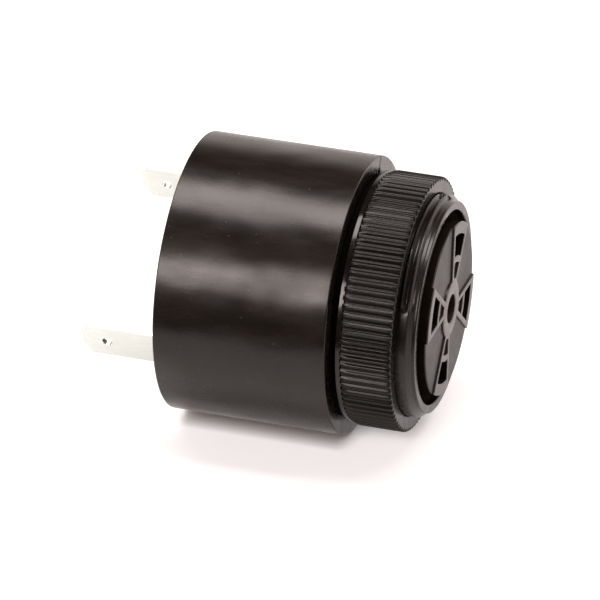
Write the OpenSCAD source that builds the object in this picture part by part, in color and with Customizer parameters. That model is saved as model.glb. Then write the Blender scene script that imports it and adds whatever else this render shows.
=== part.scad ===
// Panel-mount piezo buzzer with a slotted grille and a hand-turned ring nut.
// The sound axis lies along +X and the origin is on it, in the plane of the panel seat.

/* [Body] */
// Outside diameter of the moulded body
body_d = 43; // [41:0.5:50]
// Length of the body behind the panel seat
body_l = 27; // [26:0.5:36]
// Wall of the body
body_wall = 2; // [1.4:0.1:2.4]
// Wall behind the panel seat
seat_wall = 2.5; // [1.5:0.1:4]
// Depth of the two relieved quadrants of the panel seat
seat_relief = 0.15; // [0.1:0.05:0.6]
// Width of the plain ring of the panel seat beside the nose
seat_land = 0.3; // [0.2:0.1:1]
// Chamfer of the body's front edge
edge_c = 0.4; // [0.2:0.1:1.1]

/* [Nose] */
// Width of the groove between the nose and the grille's face
groove_w = 1.6; // [1:0.1:2.5]
// Length of the nose in front of the panel seat
nose_l = 12.5; // [11:0.5:20]
// Wall of the nose under its thread
nose_wall = 2.05; // [1.5:0.05:2.5]
// Width of the lip that carries the sounding disc
lip_w = 3; // [2:0.1:3.5]
// Step from the thread in to the plain rim
rim_step = 0.7; // [0.3:0.05:1]
// Length of the plain rim
rim_l = 0.5; // [0.4:0.1:1]
// Length of the taper from the rim to the thread
rim_taper = 0.8; // [0.3:0.1:1.5]
// Lead-in chamfer at the rim's edge
lead_in = 0.25; // [0.1:0.05:0.4]

/* [Ring nut and gasket] */
// Wall of the nut from its bore to the rib crests
nut_wall = 2.52; // [1.5:0.02:4]
// Length of the nut
nut_l = 8.6; // [6:0.1:9]
// Plain collar at the nut's rear
nut_collar = 0.5; // [0.3:0.1:2]
// Number of ribs round the nut
rib_count = 92; // [60:2:110]
// Height of a rib
rib_h = 0.45; // [0.2:0.05:0.6]
// Chamfer at the front of the ribs
nut_chamfer = 0.35; // [0.1:0.05:0.6]
// Thickness of the panel gasket
gasket_t = 1; // [0.6:0.1:2]
// Step from the nut's collar in to the gasket's edge
gasket_inset = 1; // [0.3:0.1:1.4]

/* [Grille] */
// Diameter of the grille's face
grille_d = 26.8; // [26:0.1:28]
// How far the arms stand in front of the nose's rim
grille_proud = 1.2; // [0.4:0.1:2]
// Height of the arms above the plate between them
arm_raise = 0.3; // [0.1:0.05:0.6]
// Thickness of the plate between the arms
plate_t = 1.2; // [0.8:0.1:2]
// Wall of the grille's skirt
skirt_wall = 1.2; // [0.8:0.1:1.4]
// Height of the foot that holds the grille in the nose
foot_h = 8.8; // [2:0.1:9.5]
// Angle from an arm's middle to its edge
arm_half = 19; // [15:0.5:22]
// Distance from the centre to where a window's sides would meet
arm_apex = 2.85; // [2:0.05:3.5]
// Width of the frame beside a window
arm_strip = 0.85; // [0.5:0.05:1.2]
// Inner radius of the windows
window_in = 8.2; // [7.8:0.1:9]
// Outer radius of the windows
window_out = 11.6; // [10:0.1:12]
// Inner radius of the shallow pockets
pocket_in = 4.7; // [4.5:0.1:5]
// Outer radius of the shallow pockets
pocket_out = 7.2; // [6.5:0.1:7.5]
// Depth of the shallow pockets
pocket_depth = 0.6; // [0.3:0.1:1]
// Diameter of the hub
hub_d = 8.8; // [7:0.1:9]
// Diameter of the sound hole in the hub
hole_d = 4.5; // [3:0.1:5]
// Turn of the arms about the sound axis
clock = 65.5; // [0:0.5:90]

/* [Rear cover and terminals] */
// Thickness of the rear cover
cover_t = 2; // [1.5:0.1:3]
// Step from the body's rear edge in to the cover
cover_recess = 0.3; // [0:0.1:1]
// Wall of the rear cover's skirt
cover_wall = 1.5; // [1:0.1:2]
// Width of a terminal blade
tab_w = 6.35; // [4.75:0.05:6.4]
// Thickness of a terminal blade
tab_t = 0.8; // [0.5:0.05:0.9]
// Length of a blade behind the body
tab_l = 13.3; // [8:0.1:16]
// Chamfer of a blade's corners
tab_chamfer = 1.5; // [0.5:0.1:2]
// Length of the thinned tip of a blade
tip_l = 1.2; // [0.5:0.1:2]
// Depth taken off each face at the tip
tip_cut = 0.2; // [0.05:0.05:0.22]
// Diameter of the hole in a blade
tab_hole = 1.7; // [1:0.1:2]
// Distance of the hole from the blade's end
tab_hole_in = 4.1; // [2.5:0.1:5]
// Distance of a blade from the cover's skirt
tab_inset = 2; // [1.5:0.1:4]
// Width of the shoulder that seats a blade in the cover
tab_shoulder = 8.2; // [7:0.1:9]

/* [Sounding disc] */
// Thickness of the soft support ring
support_t = 1.2; // [0.8:0.1:2]
// Thickness of the brass plate
plate_brass_t = 0.3; // [0.2:0.05:0.5]
// Thickness of the soft clamp ring
clamp_t = 1.2; // [0.8:0.1:2]
// Width of bare brass between the ceramic disc and the lip
ceramic_margin = 2.5; // [2:0.1:4]
// Thickness of the ceramic disc
ceramic_t = 0.25; // [0.15:0.05:0.5]
// Gap round the brass plate
plate_gap = 1; // [0.5:0.1:1.5]

/* [Circuit board] */
// Depth of the board behind the panel seat
board_depth = 9; // [7:0.1:10]
// Thickness of the board
board_t = 1.6; // [1:0.1:2]
// Width of the ledge that the board rests on
board_ledge = 1.5; // [1:0.1:1.8]
// Diameter of the component leads
lead_d = 0.6; // [0.4:0.05:0.8]
// Diameter of the wires to the sounding disc
wire_d = 0.9; // [0.6:0.05:1.2]
// Height of a soldered joint
solder_h = 0.9; // [0.5:0.1:1.2]

/* [Hidden] */
$fn = 96;

// Clearances: pieces that are pushed in, the nut's thread, loose rings, leads in their holes
fit = 0.05;
thread_fit = 0.08;
loose_fit = 0.3;
lead_fit = 0.15;
solder_fit = 0.02;
// Overrun of a cut past the face that it leaves
over = 0.5;
// Swelling of a wire at a bend
bend_swell = 0.02;

body_r = body_d / 2;
inner_r = body_r - body_wall;
grille_r = grille_d / 2;
skirt_r = grille_r - skirt_wall;
bore_r = grille_r + groove_w;
lip_r = bore_r - lip_w;
nose_r = bore_r + nose_wall;
rim_r = nose_r - rim_step;
nut_bore_r = nose_r + thread_fit;
nut_r = nut_bore_r + nut_wall;

// Stations along the sound axis, from the panel seat
nut_z = gasket_t;
plate_z = support_t;
clamp_z = plate_z + plate_brass_t;
foot_z = clamp_z + clamp_t;
arm_z = nose_l + grille_proud;
face_z = arm_z - arm_raise;
board_front = -board_depth;
board_back = board_front - board_t;
cover_back = cover_recess - body_l;
cover_front = cover_back + cover_t;
ceramic_back = plate_z - ceramic_t;
ceramic_r = lip_r - ceramic_margin;

// Terminals stand half-way between the arms
cover_r = inner_r - fit;
cover_in = cover_r - cover_wall;
tab_r = cover_in - tab_inset;
tab_clock = clock + 45;
tab_shoulder_l = 1.5;
tail_w = 2.4;
tail_pin_w = 1.2;
tail_past = 0.6;
tab_end = -body_l - tab_l;

// Components on the board: places in the board's plane, with the terminals along the first axis.
// The tall ones end a set distance short of the rear cover.
room_h = board_back - cover_front;
coil_headroom = 5.1;
cap_headroom = 3.1;
coil_h = room_h - coil_headroom;
cap_h = room_h - cap_headroom;
coil_at = [0, 8.5];
coil_d = 9;
coil_post_d = 4.5;
coil_flange_t = 1.2;
coil_pitch = 5;
winding_d = 8;
cap_at = [5.5, -8.5];
cap_d = 6.3;
cap_pitch = 2.5;
cap_groove = 0.35;
cap_groove_h = 1.6;
transistor_at = [8.5, 1];
transistor_d = 4.8;
transistor_h = 4.6;
transistor_flat = 1.3;
transistor_up = 2;
transistor_lead_gap = 2.54;
axial_span = 10;
axial_up = 0.3;
resistor_l = 6.3;
resistor_d = 2.3;
resistor_cap_d = 2.6;
resistor_cap_l = 1.3;
bias_at = [-6.5, 2.2];
emitter_at = [-6.5, -1.4];
feedback_at = [-6.5, -5];
diode_at = [-4.5, -9.5];
diode_l = 5.2;
diode_d = 2.7;

// Wires: place on the board and place on the sounding disc, where two are shares of the ceramic's radius
wire_rise = 2.5;
wire_dot_h = 0.5;
wire_dot_r = 0.8;
drive_from = [2, -3];
drive_to = ceramic_r * [12 / 19, -8 / 19];
ground_from = [4.5, 2.5];
ground_to = [0, lip_r - ceramic_margin / 2];
feedback_from = [1, 1];
feedback_to = ceramic_r * [-10 / 19, 4 / 19];

// Every soldered lead: place and half width
function axial_pads(at) = [for (s = [-1, 1]) [at[0] + s * axial_span / 2, at[1], lead_d / 2]];
function pair_pads(at, pitch) = [for (s = [-1, 1]) [at[0] + s * pitch / 2, at[1], lead_d / 2]];
tab_pads = [for (s = [-1, 1]) [s * tab_r, 0, norm([tail_pin_w, tab_t]) / 2]];
transistor_pads = [for (s = [-1:1]) [transistor_at[0], transistor_at[1] + s * transistor_lead_gap, lead_d / 2]];
wire_pads = [for (p = [drive_from, ground_from, feedback_from]) [p[0], p[1], wire_d / 2]];
pads = concat(tab_pads, axial_pads(bias_at), axial_pads(emitter_at), axial_pads(feedback_at),
    axial_pads(diode_at), pair_pads(coil_at, coil_pitch), pair_pads(cap_at, cap_pitch),
    transistor_pads, wire_pads);

// Ribbed outline: round crests that meet in sharp valleys
rib_steps = 6;
rib_points = rib_count * rib_steps;
function rib_radius(a) = nut_r - rib_h * (1 - abs(sin(a * rib_count / 2)));
rib_outline = [for (i = [0:rib_points - 1])
    let (a = i * 360 / rib_points)
    rib_radius(a) * [cos(a), sin(a)]];

// Turns a piece built along its own Z to the sound axis
module along_axis() {
    rotate([0, 90, 0])
        children();
}

// Turns a piece to the line of the terminals
module on_board() {
    along_axis()
        rotate([0, 0, tab_clock])
            children();
}

module disc(r, z0, z1) {
    translate([0, 0, z0])
        cylinder(r = r, h = z1 - z0);
}

module ring(r_out, r_in, z0, z1) {
    difference() {
        disc(r_out, z0, z1);
        disc(r_in, z0 - over, z1 + over);
    }
}

// Straight round rod between two points
module rod(p, q, r) {
    d = q - p;
    translate(p)
        rotate([0, acos(d[2] / norm(d)), atan2(d[1], d[0])])
            cylinder(r = r, h = norm(d), $fn = 32);
}

// Outline of the body and nose, then the stepped hollow inside them
module housing_section() {
    tip = body_l + nose_l;
    polygon([[0, 0], [body_r, 0], [body_r, body_l - edge_c], [body_r - edge_c, body_l], [nose_r, body_l],
        [nose_r, tip - rim_l - rim_taper], [rim_r, tip - rim_l], [rim_r, tip - lead_in],
        [rim_r - lead_in, tip], [0, tip]]);
}

module housing_hollow() {
    disc(inner_r, -body_l - over, board_front);
    disc(inner_r - board_ledge, board_front - over, -seat_wall);
    disc(lip_r, -seat_wall - over, over);
    disc(bore_r, 0, nose_l + over);
}

// Relief of two opposite quadrants of the panel seat
module seat_reliefs() {
    for (turn = [90, 270])
        rotate([0, 0, clock + turn])
            translate([0, 0, -seat_relief])
                difference() {
                    cube([body_r + over, body_r + over, seat_relief + over]);
                    rotate([0, 0, 225])
                        disc(nose_r + seat_land, -over, seat_relief + 2 * over);
                }
}

module housing() {
    color([0.09, 0.085, 0.08])
        along_axis()
            difference() {
                rotate([0, 0, clock + 45])
                    translate([0, 0, -body_l])
                        rotate_extrude()
                            housing_section();
                housing_hollow();
                seat_reliefs();
            }
}

// Wedge whose sides lie a set distance outside an arm's windows
module arm_wedge(strip) {
    apex = arm_apex - strip / sin(arm_half);
    reach = grille_r + 2 * over;
    half_w = (reach - apex) * tan(arm_half);
    polygon([[apex, 0], [reach, -half_w], [reach, half_w]]);
}

module each_arm() {
    for (k = [0:3])
        rotate([0, 0, 90 * k])
            children();
}

// Solid of revolution: foot, skirt and face
module grille_blank() {
    under = face_z - plate_t;
    foot_r = bore_r - fit;
    foot_top = foot_z + foot_h;
    rotate_extrude()
        polygon([[skirt_r, foot_z], [foot_r, foot_z], [foot_r, foot_top], [grille_r, foot_top],
            [grille_r, arm_z], [0, arm_z], [0, under], [skirt_r, under]]);
}

// Lowered plates between the arms and round the hub
module grille_plates() {
    translate([0, 0, face_z])
        linear_extrude(arm_raise + over)
            difference() {
                circle(r = grille_r + over);
                circle(d = hub_d);
                each_arm()
                    arm_wedge(arm_strip);
            }
}

module arm_cut(r_in, r_out, depth) {
    translate([0, 0, arm_z - depth])
        linear_extrude(depth + over)
            intersection() {
                arm_wedge(0);
                difference() {
                    circle(r = r_out);
                    circle(r = r_in);
                }
            }
}

module front_grille() {
    color([0.24, 0.23, 0.22])
        along_axis()
            rotate([0, 0, clock])
                difference() {
                    grille_blank();
                    grille_plates();
                    disc(hole_d / 2, face_z - plate_t - over, arm_z + over);
                    each_arm() {
                        arm_cut(window_in, window_out, arm_raise + plate_t + over);
                        arm_cut(pocket_in, pocket_out, pocket_depth);
                    }
                }
}

// Ribs trimmed to a chamfer at the front, on a plain collar
module ring_nut() {
    rib_z = nut_z + nut_collar;
    nut_end = nut_z + nut_l;
    color([0.13, 0.125, 0.12])
        along_axis()
            difference() {
                union() {
                    disc(nut_r - rib_h / 2, nut_z, rib_z);
                    intersection() {
                        translate([0, 0, rib_z])
                            linear_extrude(nut_end - rib_z)
                                polygon(rib_outline);
                        union() {
                            disc(nut_r + over, rib_z, nut_end - nut_chamfer);
                            translate([0, 0, nut_end - nut_chamfer])
                                cylinder(r1 = nut_r, r2 = nut_r - nut_chamfer, h = nut_chamfer);
                        }
                    }
                }
                disc(nut_bore_r, nut_z - over, nut_end + over);
            }
}

module panel_gasket() {
    color([0.05, 0.05, 0.05])
        along_axis()
            ring(nut_r - gasket_inset, nose_r + loose_fit, 0, gasket_t);
}

// Shallow cup with a slot for each blade
module rear_cover() {
    color([0.1, 0.095, 0.09])
        on_board()
            difference() {
                disc(cover_r, cover_back, board_back);
                disc(cover_in, cover_front, board_back + over);
                for (s = [-1, 1])
                    translate([s * tab_r, 0, cover_back + cover_t / 2])
                        cube([tab_t + 2 * fit, tab_w + 2 * fit, cover_t + 2 * over], center = true);
            }
}

// Flat stamping, drawn in its own plane: blade, shoulder, tail and solder pin
module terminal_outline() {
    half = tab_w / 2;
    shoulder_end = cover_front + tab_shoulder_l;
    polygon([[tab_end, -half + tab_chamfer], [tab_end + tab_chamfer, -half], [cover_front, -half],
        [cover_front, half], [tab_end + tab_chamfer, half], [tab_end, half - tab_chamfer]]);
    translate([cover_front, -tab_shoulder / 2])
        square([tab_shoulder_l, tab_shoulder]);
    translate([shoulder_end, -tail_w / 2])
        square([board_back - shoulder_end, tail_w]);
    translate([board_back, -tail_pin_w / 2])
        square([board_t + solder_h + tail_past, tail_pin_w]);
}

// Wedges that thin a blade's tip on both faces
module tip_cuts() {
    face = tab_t / 2;
    for (s = [-1, 1])
        rotate([90, 0, 0])
            linear_extrude(tab_w + 2 * over, center = true)
                polygon([[s * face, tab_end + tip_l], [s * (face - tip_cut), tab_end],
                    [s * (face - tip_cut), tab_end - over], [s * (face + over), tab_end - over],
                    [s * (face + over), tab_end + tip_l]]);
}

module terminal(side) {
    color([0.86, 0.86, 0.84])
        on_board()
            translate([side * tab_r, 0, 0])
                difference() {
                    translate([-tab_t / 2, 0, 0])
                        rotate([90, 0, 90])
                            linear_extrude(tab_t)
                                rotate([0, 0, 90])
                                    mirror([0, 1])
                                        difference() {
                                            terminal_outline();
                                            translate([tab_end + tab_hole_in, 0])
                                                circle(d = tab_hole);
                                        }
                    tip_cuts();
                }
}

module terminal_positive() {
    terminal(1);
}

module terminal_negative() {
    terminal(-1);
}

module support_ring() {
    color([0.75, 0.74, 0.7])
        along_axis()
            ring(bore_r - fit, lip_r, 0, plate_z);
}

module clamp_ring() {
    color([0.75, 0.74, 0.7])
        along_axis()
            ring(bore_r - fit, skirt_r, clamp_z, foot_z);
}

module piezo_plate() {
    color([0.8, 0.62, 0.27])
        along_axis()
            disc(bore_r - plate_gap, plate_z, clamp_z);
}

module piezo_ceramic() {
    color([0.88, 0.86, 0.8])
        along_axis()
            disc(ceramic_r, ceramic_back, plate_z);
}

module circuit_board() {
    color([0.2, 0.36, 0.2])
        on_board()
            difference() {
                disc(inner_r - fit, board_back, board_front);
                for (p = pads)
                    translate([p[0], p[1], 0])
                        disc(p[2] + lead_fit, board_back - over, board_front + over);
            }
}

// Straight leads from a height behind the board to just past the solder
module leads(list, back) {
    for (p = list)
        translate([p[0], p[1], 0])
            disc(lead_d / 2, back, board_front + solder_h + tail_past);
}

// Moulded package: a round body with one flat side
module transistor() {
    base = board_back - transistor_up;
    color([0.08, 0.08, 0.08])
        on_board() {
            intersection() {
                translate([transistor_at[0], transistor_at[1], 0])
                    disc(transistor_d / 2, base - transistor_h, base);
                translate([transistor_at[0] - transistor_flat, transistor_at[1] - transistor_d, base - transistor_h])
                    cube([transistor_d, 2 * transistor_d, transistor_h]);
            }
            leads(transistor_pads, base - over);
        }
}

// Drum of ferrite with two pins
module coil_core() {
    back = board_back - coil_h;
    color([0.3, 0.3, 0.32])
        on_board() {
            translate([coil_at[0], coil_at[1], 0]) {
                disc(coil_d / 2, board_back - coil_flange_t, board_back);
                disc(coil_post_d / 2, back, board_back);
                disc(coil_d / 2, back, back + coil_flange_t);
            }
            leads(pair_pads(coil_at, coil_pitch), board_back - coil_flange_t);
        }
}

module coil_winding() {
    color([0.72, 0.4, 0.2])
        on_board()
            translate([coil_at[0], coil_at[1], 0])
                ring(winding_d / 2, coil_post_d / 2 + fit,
                    board_back - coil_h + coil_flange_t, board_back - coil_flange_t);
}

// Can with the crimp groove near its seal
module filter_capacitor() {
    groove_z = board_back - cap_groove_h;
    color([0.16, 0.2, 0.34])
        on_board() {
            translate([cap_at[0], cap_at[1], 0])
                difference() {
                    disc(cap_d / 2, board_back - cap_h, board_back);
                    translate([0, 0, groove_z])
                        rotate_extrude()
                            translate([cap_d / 2, 0])
                                circle(r = cap_groove, $fn = 32);
                }
            leads(pair_pads(cap_at, cap_pitch), board_back - over);
        }
}

// Lead wire of a lying component, bent down to the board at both ends
module bent_leads(at, height) {
    z = board_back - height;
    for (s = [-1, 1])
        translate([at[0] + s * axial_span / 2, at[1], z])
            sphere(r = lead_d / 2 + bend_swell, $fn = 32);
    leads(axial_pads(at), z);
    rod([at[0] - axial_span / 2, at[1], z], [at[0] + axial_span / 2, at[1], z], lead_d / 2);
}

module lying(at, height, d, l) {
    translate([at[0] - l / 2, at[1], board_back - height])
        rotate([0, 90, 0])
            cylinder(d = d, h = l);
}

module resistor(at) {
    height = resistor_cap_d / 2 + axial_up;
    color([0.72, 0.62, 0.46])
        on_board() {
            lying(at, height, resistor_d, resistor_l);
            for (s = [-1, 1])
                lying(at + [s * (resistor_l - resistor_cap_l) / 2, 0], height, resistor_cap_d, resistor_cap_l);
            bent_leads(at, height);
        }
}

module bias_resistor() {
    resistor(bias_at);
}

module emitter_resistor() {
    resistor(emitter_at);
}

module feedback_resistor() {
    resistor(feedback_at);
}

module protection_diode() {
    height = diode_d / 2 + axial_up;
    color([0.1, 0.1, 0.1])
        on_board() {
            lying(diode_at, height, diode_d, diode_l);
            bent_leads(diode_at, height);
        }
}

// Wire out of the board, across to its place on the sounding disc and up to its solder
module wire(from, to, end_z) {
    bend = board_front + solder_h + wire_rise;
    a = [from[0], from[1], board_back + fit];
    b = [from[0], from[1], bend];
    c = [to[0], to[1], -seat_wall];
    e = [to[0], to[1], end_z - wire_dot_h];
    on_board() {
        rod(a, b, wire_d / 2);
        rod(b, c, wire_d / 2);
        rod(c, e, wire_d / 2);
        for (p = [b, c])
            translate(p)
                sphere(r = wire_d / 2 + bend_swell, $fn = 32);
    }
}

module lead_drive() {
    color([0.75, 0.12, 0.1])
        wire(drive_from, drive_to, ceramic_back);
}

module lead_ground() {
    color([0.06, 0.06, 0.06])
        wire(ground_from, ground_to, plate_z);
}

module lead_feedback() {
    color([0.1, 0.2, 0.6])
        wire(feedback_from, feedback_to, ceramic_back);
}

// Cone of solder round each lead on the front of the board
module board_solder() {
    foot = 0.5;
    top = 0.2;
    color([0.7, 0.7, 0.7])
        on_board()
            for (p = pads)
                translate([p[0], p[1], board_front])
                    difference() {
                        cylinder(r1 = p[2] + foot, r2 = p[2] + top, h = solder_h);
                        disc(p[2] + solder_fit, -over, solder_h + over);
                    }
}

module piezo_solder() {
    color([0.7, 0.7, 0.7])
        on_board()
            for (p = [[drive_to, ceramic_back], [ground_to, plate_z], [feedback_to, ceramic_back]])
                translate([p[0][0], p[0][1], 0])
                    disc(wire_dot_r, p[1] - wire_dot_h, p[1]);
}

housing();
front_grille();
ring_nut();
panel_gasket();
rear_cover();
terminal_positive();
terminal_negative();
support_ring();
clamp_ring();
piezo_plate();
piezo_ceramic();
circuit_board();
transistor();
coil_core();
coil_winding();
filter_capacitor();
protection_diode();
bias_resistor();
emitter_resistor();
feedback_resistor();
lead_drive();
lead_ground();
lead_feedback();
board_solder();
piezo_solder();
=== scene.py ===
import math

import bmesh
import bpy
import numpy as np
from mathutils import Matrix


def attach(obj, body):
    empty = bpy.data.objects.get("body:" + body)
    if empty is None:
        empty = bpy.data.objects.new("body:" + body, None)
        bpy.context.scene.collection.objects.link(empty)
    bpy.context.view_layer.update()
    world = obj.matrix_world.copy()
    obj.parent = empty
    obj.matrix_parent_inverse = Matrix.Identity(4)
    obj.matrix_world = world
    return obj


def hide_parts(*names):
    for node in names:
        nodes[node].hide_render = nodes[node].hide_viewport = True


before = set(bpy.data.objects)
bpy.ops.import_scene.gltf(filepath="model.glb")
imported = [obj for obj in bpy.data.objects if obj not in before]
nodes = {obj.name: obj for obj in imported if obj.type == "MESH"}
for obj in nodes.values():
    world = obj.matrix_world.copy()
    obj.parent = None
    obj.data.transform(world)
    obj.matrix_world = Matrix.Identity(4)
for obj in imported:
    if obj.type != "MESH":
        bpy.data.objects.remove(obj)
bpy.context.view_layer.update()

mm = 0.001
print("frame loaded:", len(nodes), "nodes")


# Camera and stage

cameraSet = {
    "azimuth": 16.8,  # degrees round from the side view towards the grille
    "elevation": 30.9,
    "distance": 841.3 * mm,
    "target": (-10.25 * mm, 0.0, -2.61 * mm),
    "lens": 330.0,  # on the default 36 mm sensor
}


def placeCamera(spec):
    turn = math.radians(spec["azimuth"])
    lift = math.radians(spec["elevation"])
    back = np.array([math.sin(turn) * math.cos(lift), -math.cos(turn) * math.cos(lift), math.sin(lift)])
    right = np.array([math.cos(turn), math.sin(turn), 0.0])
    up = np.cross(back, right)
    camera = bpy.data.objects.new("camera", bpy.data.cameras.new("camera"))
    camera.data.lens = spec["lens"]
    camera.data.clip_start = 0.01
    pose = np.eye(4)
    pose[:3, 0] = right
    pose[:3, 1] = up
    pose[:3, 2] = back
    pose[:3, 3] = np.array(spec["target"]) + spec["distance"] * back
    camera.matrix_world = Matrix(pose.tolist())
    bpy.context.scene.collection.objects.link(camera)
    bpy.context.scene.camera = camera


placeCamera(cameraSet)
bpy.context.scene.view_settings.view_transform = "Standard"


# Shaders: one helper for nodes, one for colours, one for pattern sizes

def addNode(tree, kind, settings=None, inputs=None):
    # settings are the node's own properties; an input is a plain value, a socket, or a node to link from
    node = tree.nodes.new(kind)
    for key, value in (settings or {}).items():
        setattr(node, key, value)
    for key, value in (inputs or {}).items():
        if isinstance(value, bpy.types.Node):
            value = value.outputs[0]
        if isinstance(value, bpy.types.NodeSocket):
            tree.links.new(value, node.inputs[key])
        else:
            node.inputs[key].default_value = value
    return node


def hexColour(code):
    # sRGB hex to linear
    srgb = np.array([int(code[i:i + 2], 16) for i in (1, 3, 5)]) / 255.0
    linear = np.where(srgb <= 0.04045, srgb / 12.92, ((srgb + 0.055) / 1.055) ** 2.4)
    return (*linear.tolist(), 1.0)


def perFeature(sizeMm):
    # texture scale whose features are about this size, on Object coordinates in metres
    return 1.0 / (sizeMm * mm)


def fromRange(ends):
    # the two input values of a range, for a node's inputs
    return {"From Min": ends[0], "From Max": ends[1]}


def newMaterial(name):
    material = bpy.data.materials.new(name)
    material.use_nodes = True
    material.node_tree.nodes.clear()
    return material, material.node_tree


# Floor and light

stageSet = {
    "floorZ": -21.5 * mm,  # the body lies on its side
    "floorHalf": 3.0,
    "floorFront": -80.0 * mm,  # the sheet ends here, in front of the object
    "floorColour": "#e9e7e6",
    "lift": 0.66,  # camera-only lift of the floor to plain white, except close under the object
    "liftTint": "#fffafa",
    "contact": 3.0 * mm,
    "contactRange": (0.25, 0.9),  # openness over which the lift comes in
    "farLift": 0.45,  # the floor behind, as the glossy faces mirror it
    "farRange": (-30 * mm, 0.0),  # across the object
    "bladeLift": 0.3,  # the floor under the two blades, as their plating mirrors it
    "bladeRange": (-36 * mm, -28 * mm),
    "rearRange": (-26 * mm, -32 * mm),  # along the object, from the body to the blades
    "overheadSky": 0.03,
    "horizonSky": 1.0,
    "horizonRange": (0.2, 0.5),  # height of the ray, where the backdrop fades out
    "backRange": (-0.1, 0.3),  # and how far it points to the back
    "endSky": 0.45,  # pale cards beyond the two ends of the object
    "endRange": (0.6, 0.85),
    "roomTint": "#fff4ef",
}


def makeFloor(spec):
    half, front, height = spec["floorHalf"], spec["floorFront"], spec["floorZ"]
    corners = [(-half, front, height), (half, front, height), (half, half, height), (-half, half, height)]
    mesh = bpy.data.meshes.new("floor")
    mesh.from_pydata(corners, [], [(0, 1, 2, 3)])
    floor = bpy.data.objects.new("floor", mesh)
    bpy.context.scene.collection.objects.link(floor)
    material, tree = newMaterial("paper_sweep")
    matt = addNode(tree, "ShaderNodeBsdfDiffuse", None, {"Color": hexColour(spec["floorColour"])})
    path = addNode(tree, "ShaderNodeLightPath")
    place = addNode(tree, "ShaderNodeTexCoord").outputs["Object"]
    axes = addNode(tree, "ShaderNodeSeparateXYZ", None, {"Vector": place})
    # what glossy faces see: paler behind the object and under the blades
    behind = addNode(tree, "ShaderNodeMapRange", None, {
        "Value": axes.outputs["Y"], "To Max": spec["farLift"], **fromRange(spec["farRange"])})
    beside = addNode(tree, "ShaderNodeMapRange", None, {
        "Value": axes.outputs["Y"], "To Max": spec["bladeLift"], **fromRange(spec["bladeRange"])})
    rearward = addNode(tree, "ShaderNodeMapRange", None, {
        "Value": axes.outputs["X"], **fromRange(spec["rearRange"])})
    paler = addNode(tree, "ShaderNodeMix", None, {0: rearward, 2: behind, 3: beside})
    mirrored = addNode(tree, "ShaderNodeMath", {"operation": "MULTIPLY"}, {
        0: path.outputs["Is Glossy Ray"], 1: paler})
    # what the camera sees: white, with the shadow kept where the object nearly touches
    near = addNode(tree, "ShaderNodeAmbientOcclusion", {"samples": 16}, {"Distance": spec["contact"]})
    clear = addNode(tree, "ShaderNodeMapRange", None, {
        "Value": near.outputs["AO"], "To Max": spec["lift"], **fromRange(spec["contactRange"])})
    seen = addNode(tree, "ShaderNodeMath", {"operation": "MULTIPLY"}, {
        0: path.outputs["Is Camera Ray"], 1: clear})
    lift = addNode(tree, "ShaderNodeMath", {"operation": "ADD"}, {0: seen, 1: mirrored})
    glow = addNode(tree, "ShaderNodeEmission", None, {"Color": hexColour(spec["liftTint"]), "Strength": lift})
    both = addNode(tree, "ShaderNodeAddShader", None, {0: matt, 1: glow})
    addNode(tree, "ShaderNodeOutputMaterial", None, {"Surface": both})
    mesh.materials.append(material)


def makeWorld(spec):
    world = bpy.data.worlds.new("studio")
    bpy.context.scene.world = world
    world.use_nodes = True
    tree = world.node_tree
    tree.nodes.clear()
    path = addNode(tree, "ShaderNodeLightPath")
    plain = addNode(tree, "ShaderNodeMath", {"operation": "MAXIMUM"}, {
        0: path.outputs["Is Camera Ray"], 1: path.outputs["Is Transmission Ray"]})
    # for other rays the room is dim, with a pale backdrop low down behind the object and cards at its ends
    ray = addNode(tree, "ShaderNodeTexCoord").outputs["Generated"]
    axes = addNode(tree, "ShaderNodeSeparateXYZ", None, {"Vector": ray})
    low = addNode(tree, "ShaderNodeMapRange", None, {
        "Value": axes.outputs["Z"], "To Min": spec["horizonSky"], "To Max": 0.0, **fromRange(spec["horizonRange"])})
    back = addNode(tree, "ShaderNodeMapRange", None, {
        "Value": axes.outputs["Y"], **fromRange(spec["backRange"])})
    along = addNode(tree, "ShaderNodeMath", {"operation": "ABSOLUTE"}, {0: axes.outputs["X"]})
    ends = addNode(tree, "ShaderNodeMapRange", None, {
        "Value": along, "To Min": spec["overheadSky"], "To Max": spec["endSky"], **fromRange(spec["endRange"])})
    room = addNode(tree, "ShaderNodeMath", {"operation": "MULTIPLY_ADD"}, {0: low, 1: back, 2: ends})
    level = addNode(tree, "ShaderNodeMath", {"operation": "MAXIMUM"}, {0: plain, 1: room})
    tint = addNode(tree, "ShaderNodeMix", {"data_type": "RGBA"}, {
        0: plain, 6: hexColour(spec["roomTint"]), 7: (1.0, 1.0, 1.0, 1.0)})
    sky = addNode(tree, "ShaderNodeBackground", None, {"Color": tint.outputs[2], "Strength": level})
    addNode(tree, "ShaderNodeOutputWorld", None, {"Surface": sky})


lampSet = {
    # tilt is degrees from overhead towards the viewer, side is degrees towards the grille end
    "overhead": {
        "tilt": -4.0, "side": -2.0, "distance": 0.9, "size": (1.15, 0.36), "watts": 8.6, "tint": "#fff5f1"},
    "front": {
        "tilt": 61.0, "side": -23.0, "distance": 1.5, "size": (0.62, 0.55), "watts": 9.4, "tint": "#fff0ea"},
}


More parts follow.
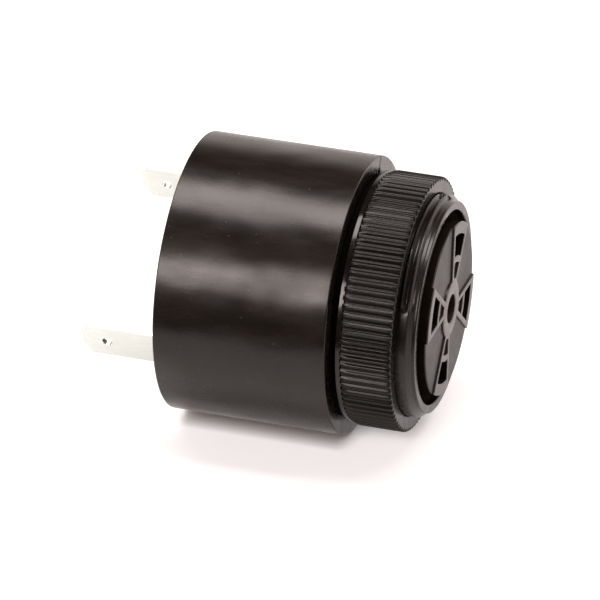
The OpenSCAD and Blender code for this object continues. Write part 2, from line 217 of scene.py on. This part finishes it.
def makeLamp(name, spec):
    tilt = math.radians(spec["tilt"])
    side = math.radians(spec["side"])
    away = np.array([math.sin(side), -math.sin(tilt) * math.cos(side), math.cos(tilt) * math.cos(side)])
    long = np.array([1.0, 0.0, 0.0]) - away * away[0]
    long = long / np.linalg.norm(long)
    lamp = bpy.data.objects.new(name, bpy.data.lights.new(name, "AREA"))
    lamp.data.shape = "RECTANGLE"
    lamp.data.size, lamp.data.size_y = spec["size"]
    lamp.data.energy = spec["watts"]
    lamp.data.color = hexColour(spec["tint"])[:3]
    pose = np.eye(4)
    pose[:3, 0] = long
    pose[:3, 1] = np.cross(away, long)
    pose[:3, 2] = away
    pose[:3, 3] = away * spec["distance"]
    lamp.matrix_world = Matrix(pose.tolist())
    bpy.context.scene.collection.objects.link(lamp)


makeFloor(stageSet)
makeWorld(stageSet)
for lampName, lampSpec in lampSet.items():
    makeLamp(lampName, lampSpec)
print("stage set")


# Surfaces: a profile of radius and station, carried round the sound axis

arcPoints = 6  # points on a rounded corner


def filletPath(corners):
    # closed outline through corners of (radius, station, rounding, rows to the next corner);
    # each corner becomes an arc, each side is cut into equal rows
    points = np.array([corner[:2] for corner in corners], float)
    before = np.roll(points, 1, axis=0)
    after = np.roll(points, -1, axis=0)
    toBefore = (before - points) / np.linalg.norm(before - points, axis=1, keepdims=True)
    toAfter = (after - points) / np.linalg.norm(after - points, axis=1, keepdims=True)
    arcs = []
    for corner, point, a, b in zip(corners, points, toBefore, toAfter):
        half = math.acos(float(np.clip(a @ b, -1, 1))) / 2
        if corner[2] <= 0:
            arcs.append(point[None, :])
            continue
        reach = corner[2] / math.tan(half)
        centre = point + (a + b) / np.linalg.norm(a + b) * corner[2] / math.sin(half)
        start = point + a * reach - centre
        end = point + b * reach - centre
        t = np.linspace(0, 1, arcPoints)[:, None]
        arc = start * np.sin((1 - t) * (math.pi - 2 * half)) + end * np.sin(t * (math.pi - 2 * half))
        arcs.append(centre + arc / math.sin(math.pi - 2 * half))
    rows = []
    for k, corner in enumerate(corners):
        rows.append(arcs[k])
        start = arcs[k][-1]
        end = arcs[(k + 1) % len(corners)][0]
        t = np.linspace(0, 1, corner[3] + 1)[1:-1, None]
        rows.append(start + (end - start) * t)
    return np.concatenate(rows)


def aroundAxis(radius, station, angle):
    # angle runs from straight up towards the viewer's side; result in metres
    return np.stack([station + 0 * angle, -radius * np.sin(angle), radius * np.cos(angle)], axis=-1) * mm


def gridQuads(rows, columns):
    # quads of a grid that closes both ways
    index = np.arange(rows * columns).reshape(rows, columns)
    right = np.roll(index, -1, axis=1)
    return np.stack([index, right, np.roll(right, -1, axis=0), np.roll(index, -1, axis=0)], axis=-1)


def makePiece(name, points, quads, materials, zones=None, sharp=50.0):
    used, corner = np.unique(quads, return_inverse=True)  # points that no face meets are left out
    mesh = bpy.data.meshes.new(name)
    mesh.from_pydata(points.reshape(-1, 3)[used].tolist(), [], corner.reshape(-1, 4).tolist())
    for material in materials:
        mesh.materials.append(material)
    if zones is not None:
        mesh.polygons.foreach_set("material_index", zones.astype(np.int32).ravel())
    shell = bmesh.new()
    shell.from_mesh(mesh)
    bmesh.ops.recalc_face_normals(shell, faces=shell.faces)
    shell.to_mesh(mesh)
    shell.free()
    mesh.polygons.foreach_set("use_smooth", np.ones(len(mesh.polygons), bool))
    mesh.set_sharp_from_angle(angle=math.radians(sharp))
    piece = bpy.data.objects.new(name, mesh)
    bpy.context.scene.collection.objects.link(piece)
    weighted = piece.modifiers.new("even_shading", "WEIGHTED_NORMAL")
    weighted.weight = 90
    weighted.keep_sharp = True
    return piece


def smoothStep(low, high, value):
    t = np.clip((value - low) / (high - low), 0, 1)
    return t * t * (3 - 2 * t)


# Materials

absSet = {
    "ior": 1.53, "cloudMm": 3.0, "drawn": 0.3,  # clouding, stretched along the sound axis
    "cloudRange": (0.3, 0.7), "glossDown": 0.04, "glossUp": 0.06,
    "speckMm": 0.55, "speckRange": (0.73, 0.79), "speckColour": "#8a8078",
    "sinkMm": 9.0, "peelStrength": 0.6,
}


def mouldedAbs(name, colour, roughness, grainMm, grainDepth, dust, specular=0.5, sink=0.0):
    # black ABS, injection moulded: a soft satin gloss broken by fine orange peel,
    # faint draw marks along the sound axis, shallow sinks that bend the highlights,
    # and pale specks of dust and scuffs
    material, tree = newMaterial(name)
    coords = addNode(tree, "ShaderNodeTexCoord").outputs["Object"]
    drawn = addNode(tree, "ShaderNodeMapping", None, {"Vector": coords, "Scale": (absSet["drawn"], 1.0, 1.0)})
    cloud = addNode(tree, "ShaderNodeTexNoise", None, {
        "Vector": drawn, "Scale": perFeature(absSet["cloudMm"]), "Detail": 5.0, "Roughness": 0.6})
    gloss = addNode(tree, "ShaderNodeMapRange", None, {
        "Value": cloud, "To Min": roughness - absSet["glossDown"], "To Max": roughness + absSet["glossUp"],
        **fromRange(absSet["cloudRange"])})
    tone = addNode(tree, "ShaderNodeMapRange", None, {"Value": cloud, **fromRange(absSet["cloudRange"])})
    plain = addNode(tree, "ShaderNodeMix", {"data_type": "RGBA"}, {
        0: tone, 6: hexColour(colour[0]), 7: hexColour(colour[1])})
    speck = addNode(tree, "ShaderNodeTexNoise", None, {
        "Vector": coords, "Scale": perFeature(absSet["speckMm"]), "Detail": 2.0, "Roughness": 0.6})
    dusty = addNode(tree, "ShaderNodeMapRange", None, {
        "Value": speck, "To Max": dust, **fromRange(absSet["speckRange"])})
    tint = addNode(tree, "ShaderNodeMix", {"data_type": "RGBA"}, {
        0: dusty, 6: plain.outputs[2], 7: hexColour(absSet["speckColour"])})
    peel = addNode(tree, "ShaderNodeTexNoise", None, {
        "Vector": coords, "Scale": perFeature(grainMm), "Detail": 2.0})
    swell = addNode(tree, "ShaderNodeTexNoise", None, {
        "Vector": coords, "Scale": perFeature(absSet["sinkMm"]), "Detail": 1.0})
    bent = addNode(tree, "ShaderNodeBump", None, {"Height": swell, "Distance": sink * mm, "Strength": 1.0})
    bump = addNode(tree, "ShaderNodeBump", None, {
        "Height": peel, "Distance": grainDepth * mm, "Strength": absSet["peelStrength"], "Normal": bent})
    shader = addNode(tree, "ShaderNodeBsdfPrincipled", None, {
        "Base Color": tint.outputs[2], "Roughness": gloss, "IOR": absSet["ior"],
        "Specular IOR Level": specular, "Normal": bump})
    addNode(tree, "ShaderNodeOutputMaterial", None, {"Surface": shader})
    return material


metalSet = {
    "rolled": 0.06,  # stretch of the streaks along the sheet
    "cloudMm": 4.0, "toneRange": (0.3, 0.7), "glossDown": 0.06, "glossUp": 0.08, "streakDepth": 0.006,
}


def metalSheet(name, dark, light, roughness, streakMm):
    # rolled or plated sheet: a bright metal with fine rolling streaks along the blade
    material, tree = newMaterial(name)
    coords = addNode(tree, "ShaderNodeTexCoord").outputs["Object"]
    rolled = addNode(tree, "ShaderNodeMapping", None, {"Vector": coords, "Scale": (metalSet["rolled"], 1.0, 1.0)})
    streak = addNode(tree, "ShaderNodeTexNoise", None, {
        "Vector": rolled, "Scale": perFeature(streakMm), "Detail": 4.0})
    cloud = addNode(tree, "ShaderNodeTexNoise", None, {
        "Vector": coords, "Scale": perFeature(metalSet["cloudMm"]), "Detail": 3.0})
    tone = addNode(tree, "ShaderNodeMapRange", None, {"Value": streak, **fromRange(metalSet["toneRange"])})
    shade = addNode(tree, "ShaderNodeMix", {"data_type": "RGBA"}, {
        0: tone, 6: hexColour(dark), 7: hexColour(light)})
    gloss = addNode(tree, "ShaderNodeMapRange", None, {
        "Value": cloud, "To Min": roughness - metalSet["glossDown"], "To Max": roughness + metalSet["glossUp"],
        **fromRange(metalSet["toneRange"])})
    bump = addNode(tree, "ShaderNodeBump", None, {
        "Height": streak, "Distance": metalSet["streakDepth"] * mm, "Strength": 0.5})
    shader = addNode(tree, "ShaderNodeBsdfPrincipled", None, {
        "Base Color": shade.outputs[2], "Metallic": 1.0, "Roughness": gloss, "Normal": bump})
    addNode(tree, "ShaderNodeOutputMaterial", None, {"Surface": shader})
    return material


def plainSolid(name, dark, light, roughness, grainMm, grainDepth=0.01, specular=0.5):
    # rubber, lacquer, ceramic and the like: two close tones and a fine grain
    material, tree = newMaterial(name)
    coords = addNode(tree, "ShaderNodeTexCoord").outputs["Object"]
    grain = addNode(tree, "ShaderNodeTexNoise", None, {
        "Vector": coords, "Scale": perFeature(grainMm), "Detail": 4.0})
    shade = addNode(tree, "ShaderNodeMix", {"data_type": "RGBA"}, {
        0: grain, 6: hexColour(dark), 7: hexColour(light)})
    bump = addNode(tree, "ShaderNodeBump", None, {"Height": grain, "Distance": grainDepth * mm, "Strength": 0.5})
    shader = addNode(tree, "ShaderNodeBsdfPrincipled", None, {
        "Base Color": shade.outputs[2], "Roughness": roughness, "Specular IOR Level": specular, "Normal": bump})
    addNode(tree, "ShaderNodeOutputMaterial", None, {"Surface": shader})
    return material


# the tool's finish sets the moulded faces apart; on the grille face, its groove wall and the nut's ribs, colour and
# reflection also carry painted light and shade
absBody = mouldedAbs(
    "black_abs_moulded", ("#1b1613", "#211a16"), roughness=0.26, grainMm=0.35, grainDepth=0.004, dust=0.6, sink=0.3)
# ribs with their reflection turned down: painted shade between the ribs
absNut = mouldedAbs(
    "black_abs_ribbed", ("#14110f", "#1c1815"), roughness=0.25, grainMm=0.3, grainDepth=0.004, dust=0.25, specular=0.3)
# a glossy band with clear highlights
absCollar = mouldedAbs(
    "black_abs_collar", ("#14110f", "#1c1815"), roughness=0.13, grainMm=0.3, grainDepth=0.001, dust=0.1)
# painted paler than the body: painted light on a face the lamps barely reach
absGrille = mouldedAbs(
    "black_abs_grille_arms", ("#332c28", "#3e3631"), roughness=0.27, grainMm=0.3, grainDepth=0.002, dust=0.2)
# matt ground between the arms, painted a little paler than the body: painted light on a face the lamps barely reach
absPlate = mouldedAbs(
    "black_abs_grille_plates", ("#25201d", "#2d2724"), roughness=0.45, grainMm=0.15, grainDepth=0.003, dust=0.2,
    specular=0.4)
# dull, dark and without reflection: painted shade on the grille's skirt and window walls, as if the rim shadowed them
absPaintedShadeWall = mouldedAbs(
    "black_abs_grille_wall_painted_shade", ("#1d1713", "#241d18"), roughness=0.6, grainMm=0.3, grainDepth=0.002, dust=0.0,
    specular=0.0)
# spark-eroded matt back
absCover = mouldedAbs(
    "black_abs_rear_cover", ("#181614", "#201d1b"), roughness=0.45, grainMm=0.25, grainDepth=0.01, dust=0.3)
# nearly white on a white floor
tinPlate = metalSheet("bright_tin_plated_brass", "#eaf0ec", "#f4fbf7", roughness=0.3, streakMm=0.12)


# Housing: body, panel seat and nose in one moulding

housingSet = {
    "bodyRadius": 21.495, "bodyLength": 27.0, "wall": 1.995, "edge": 0.28,  # a hair inside the solid
    "noseRadius": 17.05, "noseLength": 12.5, "boreRadius": 15.0,
    "rimStep": 0.7, "rimLength": 0.5, "rimTaper": 0.8,
    "lipRadius": 12.0, "seatWall": 2.5, "boardDepth": 9.0, "boardLedge": 1.5,
    "relief": 0.1, "clock": 65.5,  # degrees from straight up to the first arm
    "pitch": 1.27, "threadDepth": 0.55, "threadPhase": 0.12, "crest": 0.12, "columns": 400,
    "sharp": 22.0,  # degrees between faces from which an edge stays crisp, low enough for the thread
}


def quarterMask(angle, clock, rise, fall):
    # 1 in the quarter turn before the clock angle and in the one opposite it, 0 in the others;
    # rise and fall are the degrees over which it starts and ends
    turn = np.mod(np.degrees(angle) - clock, 180.0) - 90.0
    return smoothStep(0.0, rise, turn) * smoothStep(0.0, fall, 90.0 - turn)


def threadCut(station, angle, spec):
    # depth below the crest of a right-hand thread: narrow flat crests and roots, straight flanks between
    turns = station / spec["pitch"] - (angle + math.pi / 2) / (2 * math.pi)
    phase = np.mod(turns + spec["threadPhase"], 1.0)
    flank = (np.abs(2 * phase - 1) - spec["crest"]) / (1 - 2 * spec["crest"])
    return spec["threadDepth"] * np.clip(flank, 0, 1)


def makeHousing(spec):
    inner = spec["bodyRadius"] - spec["wall"]
    ledge = inner - spec["boardLedge"]
    rimRadius = spec["noseRadius"] - spec["rimStep"]
    rimRear = spec["noseLength"] - spec["rimLength"]
    corners = [
        (inner, -spec["bodyLength"], 0.12, 2),
        (spec["bodyRadius"], -spec["bodyLength"], 0.25, 6),
        (spec["bodyRadius"], 0.0, spec["edge"], 8),
        (spec["noseRadius"], 0.0, 0.0, 150),
        (spec["noseRadius"], rimRear - spec["rimTaper"], 0.3, 8),
        (rimRadius, rimRear, 0.2, 3),
        (rimRadius, spec["noseLength"], 0.22, 3),
        (spec["boreRadius"], spec["noseLength"], 0.2, 4),
        (spec["boreRadius"], 0.0, 0.0, 2),
        (spec["lipRadius"], 0.0, 0.1, 2),
        (spec["lipRadius"], -spec["seatWall"], 0.1, 2),
        (ledge, -spec["seatWall"], 0.0, 3),
        (ledge, -spec["boardDepth"], 0.1, 2),
        (inner, -spec["boardDepth"], 0.0, 2),
    ]
    path = filletPath(corners)
    angle = np.linspace(0, 2 * math.pi, spec["columns"], endpoint=False)[None, :]
    radius = path[:, :1] + 0 * angle
    station = path[:, 1:] + 0 * angle
    threaded = quarterMask(angle, spec["clock"], 2.0, 7.0)
    outside = (path[:, :1] > spec["boreRadius"] + 0.6) & (path[:, 1:] > 1e-6)
    # the cut stops at the root, so the thread runs out on the taper before the rim
    root = spec["noseRadius"] - spec["threadDepth"]
    cut = np.clip(np.minimum(threadCut(station, angle, spec), radius - root), 0, None)
    radius = radius - np.where(outside, cut * threaded * smoothStep(0.2, 1.0, station), 0.0)
    seat = (path[:, :1] > spec["noseRadius"] + 1e-6) & (path[:, 1:] > -spec["edge"] - 1e-6)
    fade = smoothStep(-spec["edge"], 0.0, station)
    step = quarterMask(angle, spec["clock"], 0.7, 0.7) * spec["relief"] * fade
    station = station - np.where(seat, step, 0.0)
    piece = makePiece("housing_shell", aroundAxis(radius, station, angle),
                      gridQuads(len(path), spec["columns"]), [absBody], None, spec["sharp"])
    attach(piece, "housing")
    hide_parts("housing")


makeHousing(housingSet)
print("housing made")


# Ring nut: straight ribs with round crests on a plain collar, thread in the bore

nutSet = {
    "rear": 1.0, "length": 8.6, "outer": 19.65, "collar": 0.9, "boreRadius": 17.13,
    "ribs": 92, "ribHeight": 0.45, "perRib": 10, "sharpness": 2.2, "chamfer": 0.35,
    "pitch": 1.27, "threadDepth": 0.5, "threadPhase": 0.12, "crest": 0.16,
}


def makeNut(spec):
    front = spec["rear"] + spec["length"]
    ribRear = spec["rear"] + spec["collar"]
    collarRadius = spec["outer"] - spec["ribHeight"] / 2
    corners = [
        (spec["boreRadius"], spec["rear"], 0.2, 3),
        (collarRadius, spec["rear"], 0.1, 4),
        (collarRadius, ribRear, 0.0, 1),
        (spec["outer"], ribRear, 0.0, 12),
        (spec["outer"], front, spec["chamfer"], 4),
        (spec["boreRadius"], front, 0.3, 40),
    ]
    path = filletPath(corners)
    columns = spec["ribs"] * spec["perRib"]
    angle = np.linspace(0, 2 * math.pi, columns, endpoint=False)[None, :]
    radius = path[:, :1] + 0 * angle
    station = path[:, 1:] + 0 * angle
    ribbed = (path[:, :1] > spec["outer"] - spec["chamfer"] - 1e-6) & (path[:, 1:] >= ribRear - 1e-6)
    crest = np.abs(np.sin(angle * spec["ribs"] / 2)) ** spec["sharpness"]
    valley = spec["ribHeight"] * (1 - crest)
    endRound = spec["ribHeight"] / 2 * (1 - smoothStep(0.0, 0.45, station - ribRear))
    radius = np.where(ribbed, np.minimum(radius - valley, radius - endRound), radius)
    bore = (path[:, :1] < spec["boreRadius"] + 1e-6)
    runOut = smoothStep(0.0, 0.6, station - spec["rear"]) * smoothStep(0.0, 0.6, front - station)
    groove = spec["threadDepth"] - threadCut(station, angle, spec)
    radius = radius + np.where(bore, groove * runOut, 0.0)
    collar = (path[:, :1] > spec["boreRadius"] + 1.0) & (path[:, 1:] < ribRear - 1e-6)
    piece = makePiece("ribbed_ring_nut", aroundAxis(radius, station, angle),
                      gridQuads(len(path), columns), [absNut, absCollar], np.repeat(collar, columns, axis=1))
    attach(piece, "ring_nut")
    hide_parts("ring_nut")


makeNut(nutSet)
print("ring nut made")


# Grille: a face of four framed arms round a hub, with windows cut through, on a skirt and foot

grilleSet = {
    "faceRadius": 13.4, "armStation": 13.699, "raise": 0.3, "plate": 1.2,
    "skirtWall": 1.2, "footRear": 2.7, "foot": 8.8, "footRadius": 14.95,
    "half": 19.0, "apex": 2.85, "strip": 0.85, "clock": 65.5,
    "windowIn": 8.2, "windowOut": 11.6, "pocketIn": 4.7, "pocketOut": 7.2, "pocketDepth": 0.35,
    "hubRadius": 4.4, "holeRadius": 2.25, "soft": 0.07,  # rounding of the moulded edges
}


def sideAngle(radius, apex, half):
    # angle at which a straight side, leaving the arm's middle line at apex, crosses a radius
    return half - np.arcsin(np.clip(apex * math.sin(half) / radius, -1, 1))


def grilleColumns(radius, spec):
    # angles across one arm and half of the plates beside it, and each column's zone:
    # 0 window, 1 frame, 2 plate
    half = math.radians(spec["half"])
    soft = spec["soft"] / radius
    window = np.maximum(sideAngle(radius, spec["apex"], half), math.radians(4.0))
    outer = sideAngle(radius, spec["apex"] - spec["strip"] / math.sin(half), half)
    quarter = math.pi / 4 + 0 * radius
    inWindow = [window * t for t in (0.0, 0.4, 0.8)] + [window - soft * 0.3]
    inFrame = [window, window + soft, (window + outer) / 2, outer - soft, outer]
    start = outer + soft * 0.4
    onPlate = [start + (quarter - start) * t for t in (0.0, 0.08, 0.2, 0.35, 0.5, 0.65, 0.8, 0.92, 1.0)]
    side = np.stack(inWindow + inFrame + onPlate, axis=-1)
    zone = np.array([0] * 4 + [1] * 5 + [2] * 9)
    drop = np.array([0.0] * 4 + [1.0, 0.0, 0.0, 0.0, 1.0] + [0.0] * 9)  # softened edge of the frame
    arm = np.concatenate([-side[:, :0:-1], side], axis=1)
    return arm[:, :-1], np.concatenate([zone[:0:-1], zone])[:-1], np.concatenate([drop[:0:-1], drop])[:-1]


def makeGrille(spec):
    soft = spec["soft"]
    hole, hub, rim = spec["holeRadius"], spec["hubRadius"], spec["faceRadius"]
    pIn, pOut, wIn, wOut = spec["pocketIn"], spec["pocketOut"], spec["windowIn"], spec["windowOut"]
    faceRows = np.array([
        hole, hole + soft, 3.0, 3.7, hub - soft, hub, hub + soft * 0.4,
        pIn - soft, pIn, pIn + soft * 0.4, 5.5, 6.4, pOut - soft * 0.4, pOut, pOut + soft, 7.7,
        wIn - soft, wIn, 8.9, 9.8, 10.8, wOut, wOut + soft, 12.4,
        rim - 3 * soft, rim - 1.6 * soft, rim - 0.6 * soft, rim - 0.12 * soft, rim])
    under = spec["armStation"] - spec["raise"] - spec["plate"]
    skirtIn = rim - spec["skirtWall"]
    footTop = spec["footRear"] + spec["foot"]
    skirt = np.array([
        (rim, 12.6), (rim, 12.0), (rim, footTop), (spec["footRadius"], footTop),
        (spec["footRadius"], spec["footRear"]), (skirtIn, spec["footRear"]), (skirtIn, under - 0.01)])
    backRows = faceRows[faceRows < skirtIn][::-1]
    radius = np.concatenate([faceRows, skirt[:, 0], backRows])
    angles, zone, drop = grilleColumns(radius, spec)
    zone, drop = zone[None, :], drop[None, :]

    r = faceRows[:, None]
    plateLow = spec["raise"] * ((zone == 2) & (r > hub + 1e-6))
    hubSoft = 0.6 * soft * ((zone == 2) & (np.abs(r - hub) < 1e-6))
    inPocket = (zone == 0) & (r > pIn + 1e-6) & (r < pOut - 1e-6)
    pocketEnd = (np.abs(r - pIn) < 1e-6) | (np.abs(r - pOut) < 1e-6)
    pocketEdge = (zone < 2) & pocketEnd & ((zone == 0) | (drop > 0))
    frameEdge = (drop > 0) & (r > hub + 1e-6)
    windowEdge = (zone == 0) & ((np.abs(r - wIn) < 1e-6) | (np.abs(r - wOut) < 1e-6))
    holeEdge = np.abs(r - hole) < 1e-6
    rimRound = 3 * soft
    past = np.clip(r - (rim - rimRound), 0, None)
    rimSoft = rimRound - np.sqrt(np.clip(rimRound ** 2 - past ** 2, 0, None))
    inner = np.zeros(zone.shape, bool)
    inner[0, 1:-1] = (zone[0, 1:-1] == 1) & ((zone[0, :-2] == 0) | (zone[0, 2:] == 0))
    bar = (r > pOut + 1e-6) & (r < wIn - 1e-6) | (r > wOut + 1e-6) | (r < pIn - 1e-6)
    edgeDrop = 0.6 * soft * (frameEdge & ~(inner & bar) | pocketEdge | windowEdge | holeEdge)
    fall = np.maximum(np.maximum(plateLow, hubSoft), np.maximum(inPocket * spec["pocketDepth"], edgeDrop))
    faceStation = spec["armStation"] - fall - rimSoft

    columns = 4 * angles.shape[1]
    quarters = np.arange(4) * math.pi / 2 + math.radians(spec["clock"])
    angle = (angles[:, None, :] + quarters[None, :, None]).reshape(len(radius), columns)
    station = np.concatenate([
        np.tile(faceStation, (1, 4)),
        np.repeat(skirt[:, 1:], columns, axis=1),
        np.full((len(backRows), columns), under)])
    points = aroundAxis(radius[:, None] + 0 * angle, station, angle)

    # faces in the windows come off the face and the back, and walls join the two round each window
    quads = gridQuads(len(radius), columns)
    zoneAll = np.tile(zone[0], 4)
    innerAll = np.tile(inner[0], 4)
    hollow = (zoneAll == 0) | innerAll
    slab = np.roll(innerAll, -1) & innerAll
    openColumn = hollow & np.roll(hollow, -1) & ~slab
    rowNext = np.roll(radius, -1)
    low, high = np.minimum(radius, rowNext), np.maximum(radius, rowNext)
    onFace = np.arange(len(radius)) < len(faceRows) - 1
    onBack = np.arange(len(radius)) >= len(faceRows) + len(skirt)
    openRow = (low >= wIn - 1e-6) & (high <= wOut + 1e-6) & (onFace | onBack)
    openQuad = openRow[:, None] & openColumn[None, :]
    index = np.arange(len(radius) * columns).reshape(len(radius), columns)
    backOf = len(radius) - 1 - np.arange(len(backRows))  # the back row under each face row
    frontRow = np.where(onFace & openRow)[0]
    walls = []
    for edgeRow in (frontRow[0], frontRow[-1] + 1):
        column = np.where(openColumn)[0]
        nextColumn = (column + 1) % columns
        walls.append(np.stack([
            index[edgeRow, column], index[edgeRow, nextColumn],
            index[backOf[edgeRow], nextColumn], index[backOf[edgeRow], column]], axis=-1))
    startColumn = np.where(openColumn & ~np.roll(openColumn, 1))[0]
    endColumn = (np.where(openColumn & ~np.roll(openColumn, -1))[0] + 1) % columns
    for edgeColumn in np.concatenate([startColumn, endColumn]):
        walls.append(np.stack([
            index[frontRow, edgeColumn], index[frontRow + 1, edgeColumn],
            index[backOf[frontRow + 1], edgeColumn], index[backOf[frontRow], edgeColumn]], axis=-1))
    kept = quads[~openQuad]
    plateQuad = ((zoneAll == 2) & (np.roll(zoneAll, -1) == 2))[None, :] & (onFace & (low > hub))[:, None]
    wallQuad = np.repeat((~onFace & ~onBack)[:, None], columns, axis=1)
    # zone 2, the skirt and the window walls, takes the painted-shade wall material
    finish = plateQuad * 1 + wallQuad * 2
    zones = np.concatenate([finish[~openQuad], np.full(sum(len(w) for w in walls), 2)])
    piece = makePiece("slotted_grille", points, np.concatenate([kept] + walls),
                      [absGrille, absPlate, absPaintedShadeWall], zones)
    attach(piece, "housing")
    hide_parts("front_grille")


makeGrille(grilleSet)
print("grille made")


# CAD nodes that keep their shape get their finish here

finishes = {
    # a black rubber gasket, painted near black with almost no reflection so it reads as the shaded gap behind the nut:
    # painted shade
    "panel_gasket": plainSolid("black_rubber_painted_shade", "#070605", "#0f0d0b", 0.9, 0.25, 0.02, 0.05),
    "rear_cover": absCover,
    "terminal_positive": tinPlate,
    "terminal_negative": tinPlate,
    "support_ring": plainSolid("silicone_ring", "#b9b4aa", "#cbc6bb", 0.6, 0.4),
    "piezo_plate": metalSheet("rolled_brass", "#b98f45", "#d3ab5e", 0.3, 0.15),
    "piezo_ceramic": plainSolid("silvered_ceramic", "#cfcabd", "#dfdbd0", 0.5, 0.3),
    "circuit_board": plainSolid("green_lacquered_board", "#1d4425", "#2a5c33", 0.35, 0.8),
    "transistor": plainSolid("black_epoxy_package", "#141414", "#1d1d1d", 0.5, 0.3),
    "coil_core": plainSolid("sintered_ferrite", "#2b2b2e", "#3a3a3d", 0.6, 0.2),
    "coil_winding": metalSheet("enamelled_copper_wire", "#8a4a24", "#b5683a", 0.35, 0.2),
    "filter_capacitor": plainSolid("blue_sleeved_can", "#1d2850", "#26346a", 0.35, 0.5),
    "bias_resistor": plainSolid("lacquered_resistor", "#a98a5e", "#c2a373", 0.45, 0.4),
    "lead_drive": plainSolid("red_wire_sleeve", "#8f1512", "#b01d18", 0.4, 0.5),
    "lead_ground": plainSolid("black_wire_sleeve", "#121212", "#1c1c1c", 0.4, 0.5),
    "lead_feedback": plainSolid("blue_wire_sleeve", "#16307c", "#1e3f9c", 0.4, 0.5),
    "board_solder": metalSheet("solder", "#a9a9a6", "#c8c8c5", 0.35, 0.4),
}
for follower, leader in (("clamp_ring", "support_ring"), ("protection_diode", "transistor"),
                         ("emitter_resistor", "bias_resistor"), ("feedback_resistor", "bias_resistor"),
                         ("piezo_solder", "board_solder")):
    finishes[follower] = finishes[leader]
for nodeName, finish in finishes.items():
    for materialSlot in nodes[nodeName].material_slots:
        materialSlot.material = finish
print("finishes set")
